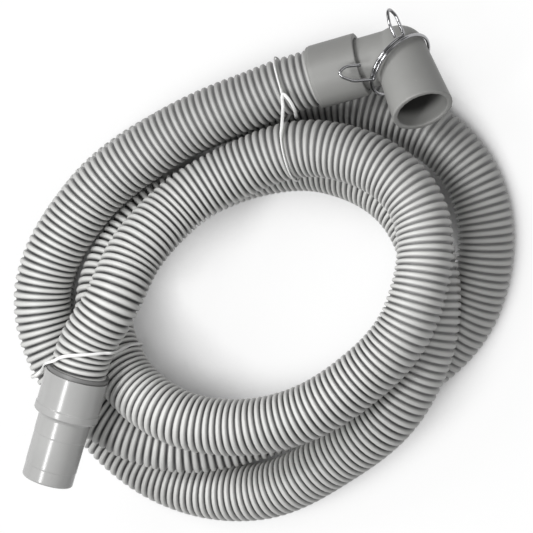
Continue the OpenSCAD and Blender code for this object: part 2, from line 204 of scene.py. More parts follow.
def smooth(table, u):
    """A curve through a table of stations, at station number u."""
    last = len(table) - 1
    i = math.floor(u)
    f = u - i
    a, b, c, d = (table[min(max(i + k, 0), last)] for k in (-1, 0, 1, 2))
    return b + 0.5 * f * ((c - a) + f * ((2 * a - 5 * b + 4 * c - d)
                                         + f * (3 * (b - c) + d - a)))


def coil_point(turn):
    u = (turn - FIRST_STATION) / STATION_STEP
    lane = HOSE_OUTSIDE * smooth(LANE, u)
    level = HOSE_OUTSIDE * max(smooth(LEVEL, u), LOWEST_LEVEL)
    angle = math.radians(turn)
    return Vector((COIL_CENTRE[0] + lane * math.cos(angle),
                   COIL_CENTRE[1] + lane * math.sin(angle), level))


AIM_STEP = 0.5
FIRST_POINT = coil_point(FIRST_TURN)
LAST_POINT = coil_point(LAST_TURN)
FIRST_AIM = (FIRST_POINT - coil_point(FIRST_TURN + AIM_STEP)).normalized()
LAST_AIM = (LAST_POINT - coil_point(LAST_TURN - AIM_STEP)).normalized()


class Route:
    """The hose's centre line, read by the length run along it from the first cut end."""

    def __init__(self):
        per_degree = 2
        coil = [coil_point(FIRST_TURN + i / per_degree)
                for i in range(per_degree * (LAST_TURN - FIRST_TURN) + 1)]
        straight = [k / 8 * CUT_END for k in range(8, 0, -1)]
        self.points = ([FIRST_POINT + FIRST_AIM * s for s in straight] + coil
                       + [LAST_POINT + LAST_AIM * s for s in reversed(straight)])
        self.runs = [0.0]
        for a, b in zip(self.points, self.points[1:]):
            self.runs.append(self.runs[-1] + (b - a).length)
        self.length = self.runs[-1]
        self.at = 0

    def point(self, run):
        """Runs are asked for in nearly rising order, so the search starts where it stopped."""
        run = min(max(run, 0.0), self.length)
        i = min(self.at, len(self.runs) - 2)
        while i > 0 and self.runs[i] > run:
            i -= 1
        while i < len(self.runs) - 2 and self.runs[i + 1] < run:
            i += 1
        self.at = i
        share = (run - self.runs[i]) / (self.runs[i + 1] - self.runs[i])
        return self.points[i].lerp(self.points[i + 1], share)

    def frame(self, run):
        """Point, sideways direction and upward direction of the hose at a run."""
        reach = 4 * MM
        aim = (self.point(run + reach) - self.point(run - reach)).normalized()
        side = Vector((0, 0, 1)).cross(aim).normalized()
        return self.point(run), side, aim.cross(side)


def end_frame(point, aim):
    """+Z runs out along the hose and +X lies level."""
    side = Vector((0, 0, 1)).cross(aim).normalized()
    up = aim.cross(side)
    return Matrix.Translation(point) @ Matrix((side, up, aim)).transposed().to_4x4()


def turned_by(degrees, axis):
    return Matrix.Rotation(math.radians(degrees), 4, axis)


ELBOW_END = end_frame(FIRST_POINT, FIRST_AIM)
CUFF_END = end_frame(LAST_POINT, LAST_AIM)
CORNER = ELBOW_END @ Matrix.Translation((0, 0, CORNER_RUN)) @ turned_by(ELBOW_TURN, "Z")
CLAMP_RING = CORNER @ turned_by(CLAMP_LEAN, "Y") @ Matrix.Translation(CLAMP_MIDDLE)


# ---------------------------------------------------------------- finishes

class Value:
    """A socket of a finish, so that sums on values add their own Math nodes."""

    def __init__(self, finish, socket):
        self.finish, self.socket = finish, socket

    def _sum(self, operation, first, second):
        return self.finish.node("ShaderNodeMath", {"operation": operation},
                                {0: first, 1: second})

    def __add__(self, other):
        return self._sum("ADD", self, other)

    def __rsub__(self, other):
        return self._sum("SUBTRACT", other, self)

    def __mul__(self, other):
        return self._sum("MULTIPLY", self, other)

    __radd__ = __add__
    __rmul__ = __mul__


class Finish:
    """A material of one Principled shader. Plain numbers go straight on its sockets."""

    def __init__(self, name, **constants):
        self.material = bpy.data.materials.new(name)
        self.material.use_nodes = True
        self.tree = self.material.node_tree
        self.tree.nodes.clear()
        self.out = self.tree.nodes.new("ShaderNodeOutputMaterial")
        self.shader = self.tree.nodes.new("ShaderNodeBsdfPrincipled")
        self.tree.links.new(self.shader.outputs[0], self.out.inputs["Surface"])
        for socket, value in constants.items():
            self.shader.inputs[socket.replace("_", " ")].default_value = value
        self.place = self.node("ShaderNodeTexCoord", output="Object")

    def _fill(self, socket, value):
        if isinstance(value, Value):
            self.tree.links.new(value.socket, socket)
        elif isinstance(value, (tuple, list, Vector)) and len(value) == 3 \
                and len(socket.default_value) == 4:
            socket.default_value = (*value, 1)
        else:
            socket.default_value = value

    def node(self, kind, settings=None, inputs=None, output=0):
        node = self.tree.nodes.new(kind)
        for key, value in (settings or {}).items():
            if key == "stops":
                for stop, (at, shade) in zip(node.color_ramp.elements, value):
                    stop.position, stop.color = at, (shade, shade, shade, 1)
            else:
                setattr(node, key, value)
        for key, value in (inputs or {}).items():
            self._fill(node.inputs[key], value)
        return Value(self, node.outputs[output])

    def mix(self, share, first, second):
        """Blends two colours; share is how much of the second one shows."""
        return self.node("ShaderNodeMix", {"data_type": "RGBA"},
                         {0: share, 6: first, 7: second}, output=2)

    def noise(self, scale, detail=3, roughness=0.55, place=None):
        return self.node("ShaderNodeTexNoise", {},
                         {"Vector": place or self.place, "Scale": scale, "Detail": detail,
                          "Roughness": roughness})

    def between(self, value, low, high):
        """0 below low, 1 above high, and a soft rise between them."""
        return self.node("ShaderNodeMapRange", {"interpolation_type": "SMOOTHSTEP"},
                         {"Value": value, "From Min": low, "From Max": high})

    def feed(self, **values):
        for socket, value in values.items():
            self._fill(self.shader.inputs[socket.replace("_", " ")], value)

    def bump(self, height, distance, strength=1.0):
        self.feed(Normal=self.node("ShaderNodeBump", {},
                                   {"Strength": strength, "Distance": distance,
                                    "Height": height}))


def ribbed_finish(ribs):
    """Hose wall: pale worn crests, darker grooves and a faint mottle. The grooves' dark colour
    is partly the grey web between the ribs and partly painted shade. Towards the far side the
    crests are darkened with painted shade, and there and on the right bend the grooves are
    lightened with painted light."""
    f = Finish("ribbed_hose_wall", IOR=1.48, Specular_IOR_Level=0.5)
    crest = f.node("ShaderNodeAttribute", {"attribute_name": "crest"}, output="Fac")
    cloud = f.noise(14, 2)
    grain = f.noise(900, 2)
    along_x = f.node("ShaderNodeSeparateXYZ", {}, {"Vector": f.place}, output="X")
    along_y = f.node("ShaderNodeSeparateXYZ", {}, {"Vector": f.place}, output="Y")
    # Painted light and shade by place: towards the far side the crests are darkened and the
    # grooves lightened.
    far_side_painted_light_and_shade = f.between(along_y, 20 * MM, 130 * MM)
    right_bend_painted_light = f.between(along_x, 100 * MM, 150 * MM)
    far_crest_painted_shade = tuple(0.66 * c for c in ribs.crest)
    mottled_crest = tuple(0.82 * c for c in ribs.crest)
    # Painted light: the grooves lighten on the right bend and towards the far side.
    groove = f.mix(right_bend_painted_light + 0.6 * far_side_painted_light_and_shade, tuple(ribs.groove_web_and_painted_shade), tuple(ribs.painted_light_groove))
    ridge = f.mix(far_side_painted_light_and_shade, tuple(ribs.crest), far_crest_painted_shade)
    mottle = f.between(cloud, 0.35, 0.75) * crest * 0.35 * (1 - far_side_painted_light_and_shade)
    body = f.mix(mottle, f.mix(crest, groove, ridge), mottled_crest)
    f.feed(Base_Color=body, Roughness=0.30 + 0.16 * grain + 0.12 * f.noise(60, 2))
    f.bump(grain, 0.05 * MM, 0.35)
    return f.material


def painted_bore_shade(f, mouth, out, radius):
    """Mask of painted shade: 0 outside a bore and at its mouth, 1 well down it."""
    from_mouth = f.node("ShaderNodeVectorMath", {"operation": "SUBTRACT"},
                        {0: f.place, 1: mouth})
    depth = f.node("ShaderNodeVectorMath", {"operation": "DOT_PRODUCT"},
                   {0: from_mouth, 1: -out}, output="Value")
    off_axis = f.node("ShaderNodeVectorMath", {"operation": "CROSS_PRODUCT"},
                      {0: from_mouth, 1: out})
    off_axis = f.node("ShaderNodeVectorMath", {"operation": "LENGTH"}, {0: off_axis},
                      output="Value")
    inside = 1 - f.between(off_axis, radius + 0.3 * MM, radius + 0.7 * MM)
    short_of_the_corner = 1 - f.between(depth, 44 * MM, 50 * MM)
    return f.between(depth, 7 * MM, 17 * MM) * short_of_the_corner * inside


def moulded_finish(name, grey, roughness, wear, bore=None):
    """Moulded vinyl: even grey with faint flow marks, fine grain and small scuffs. Down a
    bore the grey is darkened with painted shade."""
    f = Finish(name, IOR=1.5, Specular_IOR_Level=0.5)
    flow = f.noise(26, 3)
    grain = f.noise(1500, 2)
    scratches = f.noise(70, 6, 0.75)
    scuff = f.between(scratches, 0.66, 0.74) * wear
    tone = f.mix(f.between(flow, 0.3, 0.7), tuple(0.93 * c for c in grey), tuple(grey))
    tone = f.mix(scuff, tone, tuple(min(1.35 * c, 1) for c in grey))
    # Painted shade: well down a bore the grey is darkened to 0.16 of itself.
    if bore:
        tone = f.mix(painted_bore_shade(f, *bore), tone, tuple(0.16 * c for c in grey))
    f.feed(Base_Color=tone, Roughness=roughness + 0.05 * flow + 0.07 * grain + 0.2 * scuff)
    f.bump(grain + 0.6 * flow, 0.04 * MM, 0.25)
    return f.material


def rubber_finish(name, black):
    f = Finish(name, IOR=1.52)
    grain = f.noise(800, 4)
    f.feed(Base_Color=f.mix(grain, tuple(black), tuple(2.2 * c for c in black)),
           Roughness=0.55 + 0.25 * grain)
    f.bump(grain, 0.05 * MM, 0.5)
    return f.material


def wire_finish(name, steel, roughness):
    """Bright drawn wire: faint draw marks and a few dull spots."""
    f = Finish(name, Metallic=1.0)
    spots = f.between(f.noise(240, 4, 0.7), 0.6, 0.75)
    haze = f.noise(35, 2)
    f.feed(Base_Color=f.mix(spots * 0.6, tuple(steel), tuple(0.55 * c for c in steel)),
           Roughness=roughness + 0.06 * haze + 0.18 * spots)
    f.bump(f.noise(1800, 2), 0.02 * MM, 0.2)
    return f.material


def tie_finish(ties):
    """Soft vinyl over a wire core: near white, a little grubby, with fine creases."""
    f = Finish("twist_tie_vinyl", IOR=1.47)
    grub = f.between(f.noise(110, 3), 0.5, 0.8)
    creases = f.noise(700, 3)
    f.feed(Base_Color=f.mix(grub * 0.4, tuple(ties.white), (0.72, 0.71, 0.68)),
           Roughness=0.38 + 0.2 * creases)
    f.bump(creases, 0.08 * MM, 0.4)
    return f.material


# ---------------------------------------------------------------- modelling helpers

def clear_selection():
    """Nothing stays selected or active, so an operator acts on its own piece alone."""
    if bpy.context.object and bpy.context.object.mode != "OBJECT":
        bpy.ops.object.mode_set(mode="OBJECT")
    bpy.ops.object.select_all(action="DESELECT")


def only(piece):
    clear_selection()
    piece.select_set(True)
    bpy.context.view_layer.objects.active = piece
    return piece


def edit_all():
    bpy.ops.object.mode_set(mode="EDIT")
    bpy.ops.mesh.select_all(action="SELECT")


def close_and_turn_out():
    """Merges doubles and points every face outwards; starts and ends in object mode."""
    edit_all()
    bpy.ops.mesh.remove_doubles(threshold=0.002 * MM)
    bpy.ops.mesh.normals_make_consistent(inside=False)
    bpy.ops.object.mode_set(mode="OBJECT")


def turn_out(piece):
    """Points every face of a finished mesh outwards and leaves its points alone."""
    only(piece)
    edit_all()
    bpy.ops.mesh.normals_make_consistent(inside=False)
    bpy.ops.object.mode_set(mode="OBJECT")


def apply_modifier(piece, kind, **settings):
    only(piece)
    modifier = piece.modifiers.new(kind.lower(), kind)
    for key, value in settings.items():
        setattr(modifier, key, value)
    bpy.ops.object.modifier_apply(modifier=modifier.name)


def round_edges(piece, width, segments=3, sharper_than=24):
    apply_modifier(piece, "BEVEL", width=width, segments=segments, limit_method="ANGLE",
                   angle_limit=math.radians(sharper_than), use_clamp_overlap=True)


def smooth_faces(piece, angle=32):
    only(piece)
    bpy.ops.object.shade_smooth_by_angle(angle=math.radians(angle))


def held(outline, margin=0.8 * MM):
    """The outline with a point near both ends of each long line, so a face that ends at a
    rounded edge is still shaded straight."""
    points = []
    for (radius, height), (next_radius, next_height) in zip(outline,
                                                            outline[1:] + outline[:1]):
        points.append((radius, height))
        run = math.hypot(next_radius - radius, next_height - height)
        if run > 4 * margin:
            points += [(radius + (next_radius - radius) * share,
                        height + (next_height - height) * share)
                       for share in (margin / run, 1 - margin / run)]
    return points


def turned_piece(name, outline, sides=96):
    """A solid of revolution about +Z from a closed outline of (radius, height) pairs."""
    outline = held(outline)
    clear_selection()
    radius, height = outline[0]
    bpy.ops.mesh.primitive_circle_add(vertices=sides, radius=radius)
    piece = bpy.context.object
    piece.name = piece.data.name = name
    edit_all()
    bpy.ops.transform.translate(value=(0, 0, height))
    for next_radius, next_height in outline[1:] + outline[:1]:
        bpy.ops.mesh.extrude_region_move(
            TRANSFORM_OT_translate={"value": (0, 0, next_height - height)})
        grow = next_radius / radius
        bpy.ops.transform.resize(value=(grow, grow, 1),
                                 center_override=(0, 0, next_height))
        radius, height = next_radius, next_height
    bpy.ops.object.mode_set(mode="OBJECT")
    close_and_turn_out()
    return piece


def added(operator, **settings):
    """Adds a primitive and applies its place, so its object sits at the origin."""
    clear_selection()
    operator(**settings)
    piece = bpy.context.object
    bpy.ops.object.transform_apply(location=True, rotation=True, scale=True)
    return piece


def combine(piece, other, operation):
    apply_modifier(piece, "BOOLEAN", object=other, operation=operation, solver="EXACT")
    bpy.data.objects.remove(other, do_unlink=True)


def settle(piece, matrix, material, body, slot, *nodes):
    """Puts a piece's mesh in its place and ties it to its body and CAD nodes. The slot is not
    used.
    """
    piece.data.transform(matrix)
    piece.data.update()
    piece.data.materials.clear()
    piece.data.materials.append(material)
    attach(piece, body)
    if nodes:
        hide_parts(*nodes)
    return piece


def dress_node(node, material):
    """Gives a CAD node that is shown as it is a better finish."""
    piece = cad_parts[node]
    for place in piece.material_slots:
        place.material = material


def mesh_piece(name, points, faces):
    mesh = bpy.data.meshes.new(name)
    mesh.from_pydata([tuple(p) for p in points], [], faces)
    mesh.update()
    piece = bpy.data.objects.new(name, mesh)
    bpy.context.collection.objects.link(piece)
    for face in mesh.polygons:
        face.use_smooth = True
    return piece


def filleted(points, radius, steps=6):
    """Rounds each inner corner of an open line of points."""
    line = [points[0]]
    for before, at, after in zip(points, points[1:], points[2:]):
        reach_in = min(radius, 0.48 * (before - at).length)
        reach_out = min(radius, 0.48 * (after - at).length)
        start = at + (before - at).normalized() * reach_in
        end = at + (after - at).normalized() * reach_out
        for k in range(steps + 1):
            t = k / steps
            line.append(start * (1 - t) ** 2 + at * 2 * t * (1 - t) + end * t ** 2)
    return line + [points[-1]]


def wire_piece(name, points, diameter):
    """A round wire along a line of points, with domed ends."""
    curve = bpy.data.curves.new(name, "CURVE")
    curve.dimensions = "3D"
    curve.bevel_depth = diameter / 2
    curve.bevel_resolution = 6
    curve.use_fill_caps = True
    spline = curve.splines.new("POLY")
    spline.points.add(len(points) - 1)
    for knot, point in zip(spline.points, points):
        knot.co = (*point, 1)
    piece = bpy.data.objects.new(name, curve)
    bpy.context.collection.objects.link(piece)
    only(piece)
    bpy.ops.object.convert(target="MESH")
    piece = bpy.context.object
    close_and_turn_out()
    round_edges(piece, 0.45 * diameter / 2, 2, 60)
    smooth_faces(piece, 50)
    return piece


# ---------------------------------------------------------------- the pieces

# Outline of one rib: share of the pitch, depth below the crest as a share of the groove's
# depth, and how much of the crest's colour shows
RIB = [(0.00, 1.00, 0.0), (0.20, 1.00, 0.0), (0.33, 0.22, 0.7),
       (0.44, 0.00, 1.0), (0.74, 0.00, 1.0), (0.86, 0.25, 0.7)]


class POOLHOSE_OT_stage(Operator):
    """Camera, floor and lamps"""
    bl_idname = "poolhose.stage"
    bl_label = "Stage"

    def execute(self, context):
        stage = context.scene.pool_hose_stage
        # Camera axes: to the right, up and towards the camera
        right = Vector((0.9695, 0, -0.2450)).normalized()
        toward = Vector((0.2444, 0.0670, 0.9670)).normalized()
        up = toward.cross(right).normalized()
        aim_right, aim_up = 1.1 * MM, 23.0 * MM
        aim = Vector((*COIL_CENTRE, 0)) + right * aim_right + up * aim_up
        lens = bpy.data.cameras.new("camera")
        lens.sensor_width = 36
        lens.lens = 36 * stage.distance / stage.view_width
        lens.clip_end = 4 * stage.distance
        camera = bpy.data.objects.new("camera", lens)
        context.collection.objects.link(camera)
        middle_height = 60 * MM
        camera.matrix_world = (
            Matrix.Translation(aim + toward * (stage.distance + middle_height))
            @ Matrix((right, up, toward)).transposed().to_4x4())
        context.scene.camera = camera

        clear_selection()
        bpy.ops.mesh.primitive_plane_add(size=30, location=(0, 0, 0))
        floor = context.object
        floor.name = floor.data.name = "floor"
        floor.data.materials.append(self.floor_finish(stage.floor))

        self.lamp("key", Vector((-0.75, 0.6, 1.45)), 0.6, 0.6, 15)
        self.lamp("top", Vector((0.35, -0.15, 1.6)), 0.45, 0.45, 5)
        self.lamp("fill", Vector((1.4, 0.7, 1.2)), 0.9, 0.9, 3)
        # A strip beyond the straight cuff's mouth draws one crisp line down the cuff
        across = LAST_AIM.cross(toward).normalized()
        if across.dot(right) > 0:
            across = -across
        strip_angle = math.radians(29)
        way = toward * math.cos(strip_angle) + across * math.sin(strip_angle)
        strip_place = way * 1.6 + LAST_AIM * 0.8
        self.lamp("strip", strip_place, 0.22, 0.7, 12, along=LAST_AIM)
        self.world(context)
        context.scene.view_settings.view_transform = "Standard"
        return {"FINISHED"}

    def lamp(self, name, place, width, height, power, along=None):
        light = bpy.data.lights.new(name, "AREA")
        light.shape, light.size, light.size_y, light.energy = "RECTANGLE", width, height, power
        lamp = bpy.data.objects.new(name, light)
        bpy.context.collection.objects.link(lamp)
        back = place.normalized()
        tall = along or Vector((0, 0, 1))
        tall = (tall - back * tall.dot(back)).normalized()
        lamp.matrix_world = (Matrix.Translation(place)
                             @ Matrix((tall.cross(back), tall, back)).transposed().to_4x4())

    def floor_finish(self, shade):
        """Pale floor. Where it lies open it glows a little to the camera and to shiny
        pieces, so it reads as white there and still keeps the object's shadow. Light that
        it throws back on the pieces is duller, so their undersides stay dark."""
        f = Finish("pale_floor", Roughness=0.9, Specular_IOR_Level=0.1)
        dust = f.noise(9, 3)
        f.feed(Base_Color=f.mix(dust, tuple(0.985 * c for c in shade), tuple(shade)))
        seen = f.node("ShaderNodeLightPath", output="Is Camera Ray")
        glossy = f.node("ShaderNodeLightPath", output="Is Glossy Ray")
        through = f.node("ShaderNodeLightPath", output="Is Transmission Ray")
        glow = f.node("ShaderNodeEmission", {}, {"Color": (1.0, 1.0, 1.0), "Strength": 1.0})
        dull = f.node("ShaderNodeBsdfDiffuse", {}, {"Color": (0.3, 0.3, 0.3)})
        shadow_reach, most_glow = 90 * MM, 0.93
        open_sky = f.node("ShaderNodeAmbientOcclusion", {}, {"Distance": shadow_reach},
                          output="AO")
        white = f.node("ShaderNodeMixShader", {}, {
            0: f.between(open_sky, 0.30, 0.72) * most_glow,
            1: Value(f, f.shader.outputs[0]), 2: glow})
        blend = f.node("ShaderNodeMixShader", {}, {
            0: seen + glossy + through, 1: dull, 2: white})
        f.tree.links.new(blend.socket, f.out.inputs["Surface"])
        return f.material

    def world(self, context):
        world = bpy.data.worlds.new("studio")
        context.scene.world = world
        world.use_nodes = True
        sky = world.node_tree.nodes["Background"]
        sky.inputs["Color"].default_value = (1, 1, 1, 1)
        sky.inputs["Strength"].default_value = 0.2


class POOLHOSE_OT_hose(Operator):
    """The ribbed hose: one long screw thread of ribs along the coil, with its bore"""
    bl_idname = "poolhose.hose"
    bl_label = "Ribbed hose"

    def execute(self, context):
        ribs = context.scene.pool_hose_ribs
        route = Route()
        points, faces, crest = self.wall(route, ribs)
        piece = mesh_piece("pool_hose", points, faces)
        shown = piece.data.attributes.new("crest", "FLOAT", "POINT")
        shown.data.foreach_set("value", crest)
        turn_out(piece)
        settle(piece, Matrix(), ribbed_finish(ribs), "coil", "hose_grey", "hose")
        step = 5 * MM
        count = round(route.length / step)
        path = [tuple(route.point(route.length * i / count)) for i in range(count + 1)]
        return {"FINISHED"}

    def wall(self, route, ribs):
        """A lattice whose columns climb one rib for each turn round the hose."""
        per_rib, sides = len(RIB), ribs.sides
        pitch = route.length / (ribs.ribs + 1)
        points, crest = [], []
        rows = ribs.ribs * per_rib
        margin = 0.5 * MM
        usable = route.length - 2 * margin
        for i in range(rows + 1):
            share, drop, shade = RIB[i % per_rib]
            for k in range(sides):
                run = margin + usable * ((i // per_rib + share + k / sides)
                                         * pitch / route.length)
                radius = HOSE_OUTSIDE / 2 - drop * ribs.groove
                points.append(self.around(route, run, radius, k / sides))
                crest.append(shade)
        faces = []
        for i in range(rows):
            for k in range(sides - 1):
                a = i * sides + k
                faces.append((a, a + 1, a + 1 + sides, a + sides))
            if i + 1 + per_rib <= rows:
                a, b = i * sides + sides - 1, (i + per_rib) * sides
                faces.append((a, b, b + sides, a + sides))
        # Plain rings close the thread at both cut ends, and run on down the bore
        low = HOSE_OUTSIDE / 2 - ribs.groove
        first = len(points)
        for k in range(sides):
            points.append(self.around(route, 0, low, k / sides))
            crest.append(0.0)
        for k in range(sides - 1):
            faces.append((first + k, first + k + 1, k + 1, k))
        faces.append((first + sides - 1, first, per_rib * sides, sides - 1))
        for j in range(per_rib):
            faces.append((first, j * sides, (j + 1) * sides))
        last = len(points)
        for k in range(sides):
            points.append(self.around(route, route.length, low, k / sides))
            crest.append(0.0)
        top = rows * sides
        for k in range(sides - 1):
            faces.append((top + k, top + k + 1, last + k + 1, last + k))
        faces.append(((rows - per_rib) * sides + sides - 1, top, last, last + sides - 1))
        for j in range(rows - per_rib, rows):
            a = j * sides + sides - 1
            faces.append((a, last + sides - 1, a + sides))
        bore_rings, bore_lowest, bore_shade = 280, 1.2 * MM, 0.35
        ring_before = first
        for j in range(bore_rings + 1):
            ring_now = len(points)
            run = route.length * j / bore_rings
            for k in range(sides):
                points.append(self.around(route, run, ribs.bore / 2, k / sides,
                                          bore_lowest))
                crest.append(bore_shade)
            for k in range(sides):
                m = (k + 1) % sides
                faces.append((ring_before + k, ring_now + k, ring_now + m, ring_before + m))
            ring_before = ring_now
        for k in range(sides):
            m = (k + 1) % sides
            faces.append((ring_before + k, last + k, last + m, ring_before + m))
        return points, faces, crest

    def around(self, route, run, radius, share, lowest=0.0):
        point, side, up = route.frame(run)
        angle = 2 * math.pi * share
        spot = point + radius * (math.cos(angle) * side + math.sin(angle) * up)
        spot.z = max(spot.z, lowest)
        return spot


class POOLHOSE_OT_elbow_cuff(Operator):
    """The sleeve on the hose and the elbow that turns in it"""
    bl_idname = "poolhose.elbow_cuff"
    bl_label = "Elbow cuff"

    def execute(self, context):
        elbow = context.scene.pool_hose_elbow
        way = turned_by(NEAR_LEG_LEAN, "Y") @ Vector((0, 0, 1))
        # The elbow's mouth bore, down which the grey is darkened with painted shade
        bore = (CORNER @ (way * elbow.near_run), CORNER.to_3x3() @ way,
                elbow.mouth_bore / 2)
        self.sleeve(elbow, moulded_finish("moulded_sleeve_grey",
                                          [0.88 * c for c in elbow.grey], 0.40, 0.5))
        self.elbow(elbow, way, moulded_finish("moulded_elbow_grey", elbow.grey, 0.40, 0.5,
                                              bore))
        dress_node("elbow_washer",
                   rubber_finish("seal_black", context.scene.pool_hose_cuff.rubber))
        dress_node("elbow_ring",
                   wire_finish("ring_steel", context.scene.pool_hose_clamp.steel, 0.25))
        return {"FINISHED"}

    def sleeve(self, elbow, grey):
        outer, inner, leg = (elbow.sleeve_outside / 2, elbow.sleeve_bore / 2,
                             elbow.leg_outside / 2 + RUNNING_GAP)
        shelf = SLEEVE_END - 2 * MM
        groove = 45.6 * MM
        bite = 1 * MM
        chamfer = 1.2 * MM
        lip, relief, rim = 2.4 * MM, 0.35 * MM, 0.5 * MM
        seam, seam_depth = 0.9 * MM, 1.2 * MM
        piece = turned_piece("elbow_sleeve_shell", [
            (inner, SLEEVE_RIM),
            (outer - chamfer, SLEEVE_RIM),
            (outer - relief, SLEEVE_RIM + chamfer),
            (outer - relief, SLEEVE_RIM + lip),
            (outer, SLEEVE_RIM + lip + relief),
            (outer, SLEEVE_END - rim),
            (outer - rim, SLEEVE_END),
            (leg + seam, SLEEVE_END),
            (leg + seam, SLEEVE_END - seam_depth),
            (leg, SLEEVE_END - seam_depth),
            (leg, shelf),
            (inner + bite, shelf),
            (inner + bite, groove),
            (inner, groove)])
        round_edges(piece, 0.2 * MM)
        smooth_faces(piece)
        settle(piece, ELBOW_END, grey, "coil", "sleeve_grey", "elbow_sleeve")

    def elbow(self, elbow, way, grey):
        """Leg, corner and near leg are joined, bored, and run together like a moulding."""
        leg = elbow.leg_outside / 2
        corner = elbow.corner_outside / 2
        mouth = elbow.mouth_outside / 2
        wall = elbow.wall
        near_root = corner - 0.3 * MM
        stop = ELBOW_STOP - CORNER_RUN
        lean = (0, math.radians(NEAR_LEG_LEAN), 0)
        sides = 96
        piece = added(bpy.ops.mesh.primitive_cylinder_add, vertices=sides, radius=leg,
                      depth=-stop, location=(0, 0, stop / 2))
        # The remesh below spreads the collar, so it starts thinner to clear the split ring
        collar_outside, collar = 42.08 * MM, 1 * MM
        combine(piece, added(bpy.ops.mesh.primitive_cylinder_add, vertices=sides,
                             radius=collar_outside / 2, depth=collar,
                             location=(0, 0, stop + collar / 2)), "UNION")
        combine(piece, added(bpy.ops.mesh.primitive_uv_sphere_add, segments=sides,
                             ring_count=sides // 2, radius=corner), "UNION")
        combine(piece, added(bpy.ops.mesh.primitive_cone_add, vertices=sides,
                             radius1=near_root, radius2=mouth, depth=elbow.near_run,
                             location=way * (elbow.near_run / 2), rotation=lean), "UNION")
        slack = 2 * MM
        combine(piece, added(bpy.ops.mesh.primitive_cylinder_add, vertices=sides,
                             radius=leg - wall, depth=-stop + slack,
                             location=(0, 0, (stop - slack) / 2)), "DIFFERENCE")
        combine(piece, added(bpy.ops.mesh.primitive_uv_sphere_add, segments=sides,
                             ring_count=sides // 2, radius=corner - wall), "DIFFERENCE")
        combine(piece, added(bpy.ops.mesh.primitive_cylinder_add, vertices=sides,
                             radius=near_root - wall, depth=elbow.near_run,
                             location=way * (elbow.near_run / 2), rotation=lean),
                "DIFFERENCE")
        deep = elbow.mouth_depth + slack
        combine(piece, added(bpy.ops.mesh.primitive_cylinder_add, vertices=sides,
                             radius=elbow.mouth_bore / 2, depth=deep,
                             location=way * (elbow.near_run + slack - deep / 2),
                             rotation=lean), "DIFFERENCE")
        piece.name = piece.data.name = "elbow_shell"
        apply_modifier(piece, "REMESH", mode="VOXEL", voxel_size=0.75 * MM)
        apply_modifier(piece, "SMOOTH", factor=0.5, iterations=6)
        only(piece)
        bpy.ops.object.shade_smooth()
        settle(piece, CORNER, grey, "elbow", "elbow_grey", "elbow")


class POOLHOSE_OT_spring_clamp(Operator):
    """The two wires of the spring clamp, each bent into a finger loop"""
    bl_idname = "poolhose.spring_clamp"
    bl_label = "Spring clamp"

    def execute(self, context):
        clamp = context.scene.pool_hose_clamp
        steel = wire_finish("bright_clamp_wire", clamp.steel, 0.12)
        lift = 1.4 * MM
        long_wire = self.wire(clamp, "clamp_long_wire_bent", start=146, end=-124,
                              lift=-lift, lean=49, twist=65)
        settle(long_wire, CLAMP_RING, steel, "clamp_long", "clamp_steel", "clamp_long_wire")
        short_wire = self.wire(clamp, "clamp_short_wire_bent", start=134 - 360, end=-31,
                               lift=lift, lean=28, twist=220)
        settle(short_wire, CLAMP_RING, steel, "clamp_short", "clamp_steel",
               "clamp_short_wire")
        return {"FINISHED"}

    def wire(self, clamp, name, start, end, lift, lean, twist):
        """An arc of the ring from start to end, then out and back round a finger loop.
        Start, end, lean and twist are in degrees, and lift is the arc's place along the
        ring's axis."""
        radius = clamp.ring / 2
        steps = 72
        line = []
        for i in range(steps):
            angle = math.radians(start + (end - start) * i / steps)
            line.append(Vector((radius * math.cos(angle), radius * math.sin(angle), lift)))
        lean, twist = math.radians(lean), math.radians(twist)
        out = Vector((math.cos(lean), 0, -math.sin(lean)))
        over = Vector((0, math.sin(twist), math.cos(twist)))
        run, bend, foot = 23 * MM, 7 * MM, 5 * MM
        root_width, tip_width = 12 * MM, 4 * MM
        corner_radius = 2.6 * MM
        taper = (root_width - tip_width) / 2
        root = Vector((radius, 0, lift))
        turn = turned_by(end, "Z")
        loop = [turn @ p for p in (
            root,
            root + out * (run - bend),
            root + out * run + over * taper,
            root + out * run + over * (root_width - taper),
            root + out * (run - bend) + over * root_width,
            root + out * foot + over * root_width)]
        # The arc stops short of the root, so the bend into the loop has room
        return wire_piece(name, filleted(line[:-2] + loop, corner_radius), clamp.wire)


